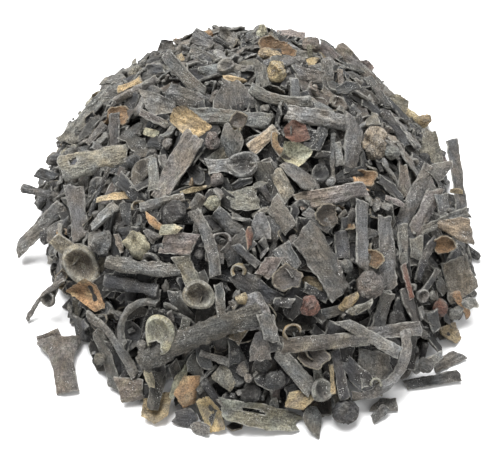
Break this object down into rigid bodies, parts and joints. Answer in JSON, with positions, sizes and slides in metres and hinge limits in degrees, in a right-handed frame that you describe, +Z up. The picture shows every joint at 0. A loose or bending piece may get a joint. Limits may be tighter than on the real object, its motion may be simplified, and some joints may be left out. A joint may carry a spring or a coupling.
{
  "type": "dried bladderwrack heap",
  "caption": "Loose oval heap of cut dried bladderwrack: stiff dark grey frond straps, collapsed bladders, tan bladder shells and rough stalks, with a flat underside.",
  "frame": {"origin": "middle of the heap's bounding box, on the surface that it lies on", "axes": "+Z up, -Y the side that the picture looks down on, +X to its right"},
  "size_m": [0.1078, 0.1283, 0.041],
  "materials": {
    "dried_frond": "matt, wrinkled, with a faint dusting of salt",
    "bladder_skin": "thin, dull and slightly translucent",
    "dried_stalk": "rough and matt"
  },
  "bodies": {
    "root": {"bladderwrack_heap": "dried_frond"}
  },
  "joints": []
}
